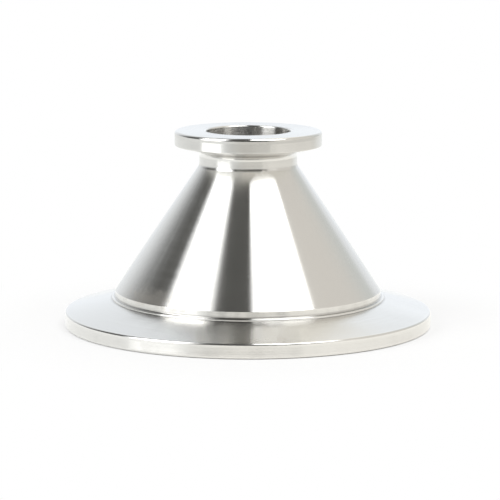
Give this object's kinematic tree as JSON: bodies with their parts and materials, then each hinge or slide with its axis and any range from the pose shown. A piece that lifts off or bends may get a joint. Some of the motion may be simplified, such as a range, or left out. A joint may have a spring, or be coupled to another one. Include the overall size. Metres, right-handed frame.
{
  "type": "conical vacuum reducer",
  "caption": "Straight conical vacuum reducer of polished stainless steel: a wide clamping flange, a hollow cone, a short neck and a small clamping flange on the same axis.",
  "frame": {"origin": "centre of the large sealing face, on the axis of the part", "axes": "+Z along the axis, from the large flange towards the small flange; the part is the same all round, so X and Y have no feature of their own"},
  "size_m": [0.075, 0.075, 0.04],
  "materials": {
    "stainless_steel": "fine turned and polished"
  },
  "bodies": {
    "root": {"reducer_body": "stainless_steel"}
  },
  "joints": []
}
